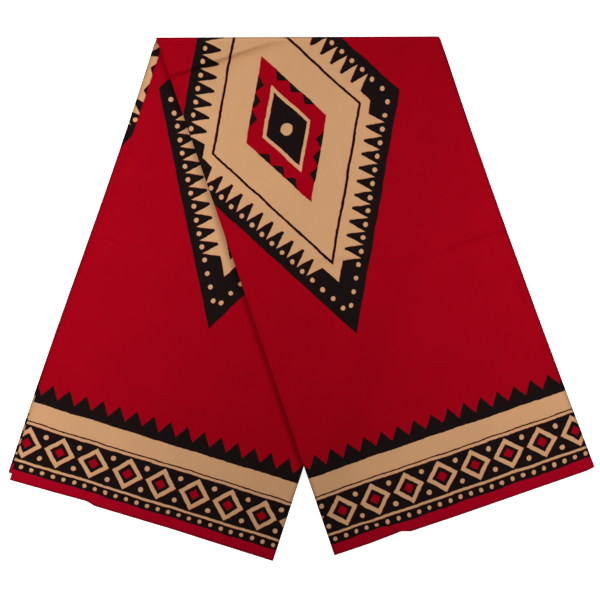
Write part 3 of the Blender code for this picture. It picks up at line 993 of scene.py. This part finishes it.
innerCloth = gridMesh("innerCloth", *sheetPoints("back", "front", 0, 1, 0.550))
thicken(innerCloth, faceCotton)
print("inner cloth:", len(innerCloth.data.polygons), "faces")

secondPly = gridMesh("secondPly", *sheetPoints("backUnder", None, 2, 1, 0.445))
thicken(secondPly, faceCotton)
print("second ply:", len(secondPly.data.polygons), "faces")

innerPlies = plyEdgeRibbon()
runTree(innerPlies, plyStackTree(), {**plyEdges["stack"], "Pitch": plyPitch, "Cloth": layerCotton})
print("inner plies:", len(innerPlies.data.polygons), "faces")

for piece, slot, nodes in (
    (outerCloth, "printed_cotton_face", ["front_leg_ply"]),
    (innerCloth, "printed_cotton_face", ["back_leg_ply"]),
    (secondPly, "printed_cotton_face", ["back_leg_second_ply"]),
    (innerPlies, "printed_cotton_layers", ["front_leg_inner_plies", "back_leg_inner_plies"]),
):
    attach(piece, "root")
    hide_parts(*nodes)

studio = {
    "floorSize": 6.0, "floorDrop": 0.0004,
    "floorColour": (0.93, 0.93, 0.93, 1), "floorGlow": 0.95,
    "room": (1.0, 1.0, 1.0, 1), "roomStrength": 0.04, "seenStrength": 0.98,
    "sky": {"from": (-0.20, 0.88, 0.50), "strength": 0.90, "angle": 22.0},
    # soft boxes: where they hang, what they aim at, size, spread and watts; the ones with a narrow spread
    # have grids, which hold their light to their own side
    "lights": {
        "topSoft": ((0, 0.52, 0.30), (0, 0, 0), 0.28, 180, 0.98),
        "lowLeftSoft": ((-0.46, -0.30, 0.24), (0, 0, 0), 0.26, 180, 1.20),
        "upperLeftSoft": ((-0.34, 0.30, 0.24), (-0.20, 0.15, 0), 0.26, 100, 0.31),
        "leftSoft": ((-0.34, 0, 0.24), (-0.20, 0, 0), 0.26, 100, 0.155),
        "upperRightSoft": ((0.46, 0.15, 0.44), (0.20, 0.075, 0), 0.26, 100, 0.75),
        "lowRightSoft": ((0.46, -0.30, 0.44), (0.20, -0.15, 0), 0.26, 100, 0.42),
    },
}
picture = {
    "lens": 90.0, "sensor": 36.0,
    "width": 0.6800,         # of the table, over the whole picture
    "middle": (-0.0015, -0.0006),
    "clothTop": 0.010,
}


def buildStudio():
    scene = bpy.context.scene
    half = studio["floorSize"] / 2
    mesh = bpy.data.meshes.new("floor")
    corners = [(-half, -half), (half, -half), (half, half), (-half, half)]
    mesh.from_pydata([(x, y, -studio["floorDrop"]) for x, y in corners], [], [(0, 1, 2, 3)])
    floor = addObject("floor", mesh)
    paper = bpy.data.materials.new("palePaper")
    paper.use_nodes = True
    feedAll(paper.node_tree, paper.node_tree.nodes["Principled BSDF"], {
        "Base Color": studio["floorColour"], "Roughness": 0.9,
        "Emission Color": studio["floorColour"], "Emission Strength": studio["floorGlow"]})
    mesh.materials.append(paper)

    # the room is dim as a light, and white as a background
    world = bpy.data.worlds.new("softRoom")
    world.use_nodes = True
    tree = world.node_tree
    seen = addNode(tree, "ShaderNodeLightPath").outputs["Is Camera Ray"]
    more = studio["seenStrength"] - studio["roomStrength"]
    feedAll(tree, tree.nodes["Background"], {
        "Color": studio["room"], "Strength": maths(tree, "MULTIPLY_ADD", seen, more, studio["roomStrength"])})
    scene.world = world

    def hangLight(name, kind, at, aim, strength):
        lamp = bpy.data.lights.new(name, kind)
        lamp.energy = strength
        holder = addObject(name, lamp)
        holder.location = at
        holder.rotation_euler = (Vector(aim) - Vector(at)).to_track_quat("-Z", "Y").to_euler()
        holder.visible_camera = False
        return lamp

    for name, (at, aim, size, spread, watts) in studio["lights"].items():
        lamp = hangLight(name, "AREA", at, aim, watts)
        lamp.size = size
        lamp.spread = math.radians(spread)
    sky = studio["sky"]
    lamp = hangLight("skylight", "SUN", sky["from"], (0.0, 0.0, 0.0), sky["strength"])
    lamp.angle = math.radians(sky["angle"])
    scene.view_settings.view_transform = "Standard"


def buildCamera():
    data = bpy.data.cameras.new("camera")
    data.lens, data.sensor_width = picture["lens"], picture["sensor"]
    away = picture["width"] * picture["lens"] / picture["sensor"]
    camera = addObject("camera", data)
    camera.location = (*picture["middle"], picture["clothTop"] + away)
    bpy.context.scene.camera = camera


buildStudio()
buildCamera()
print("studio and camera are ready")
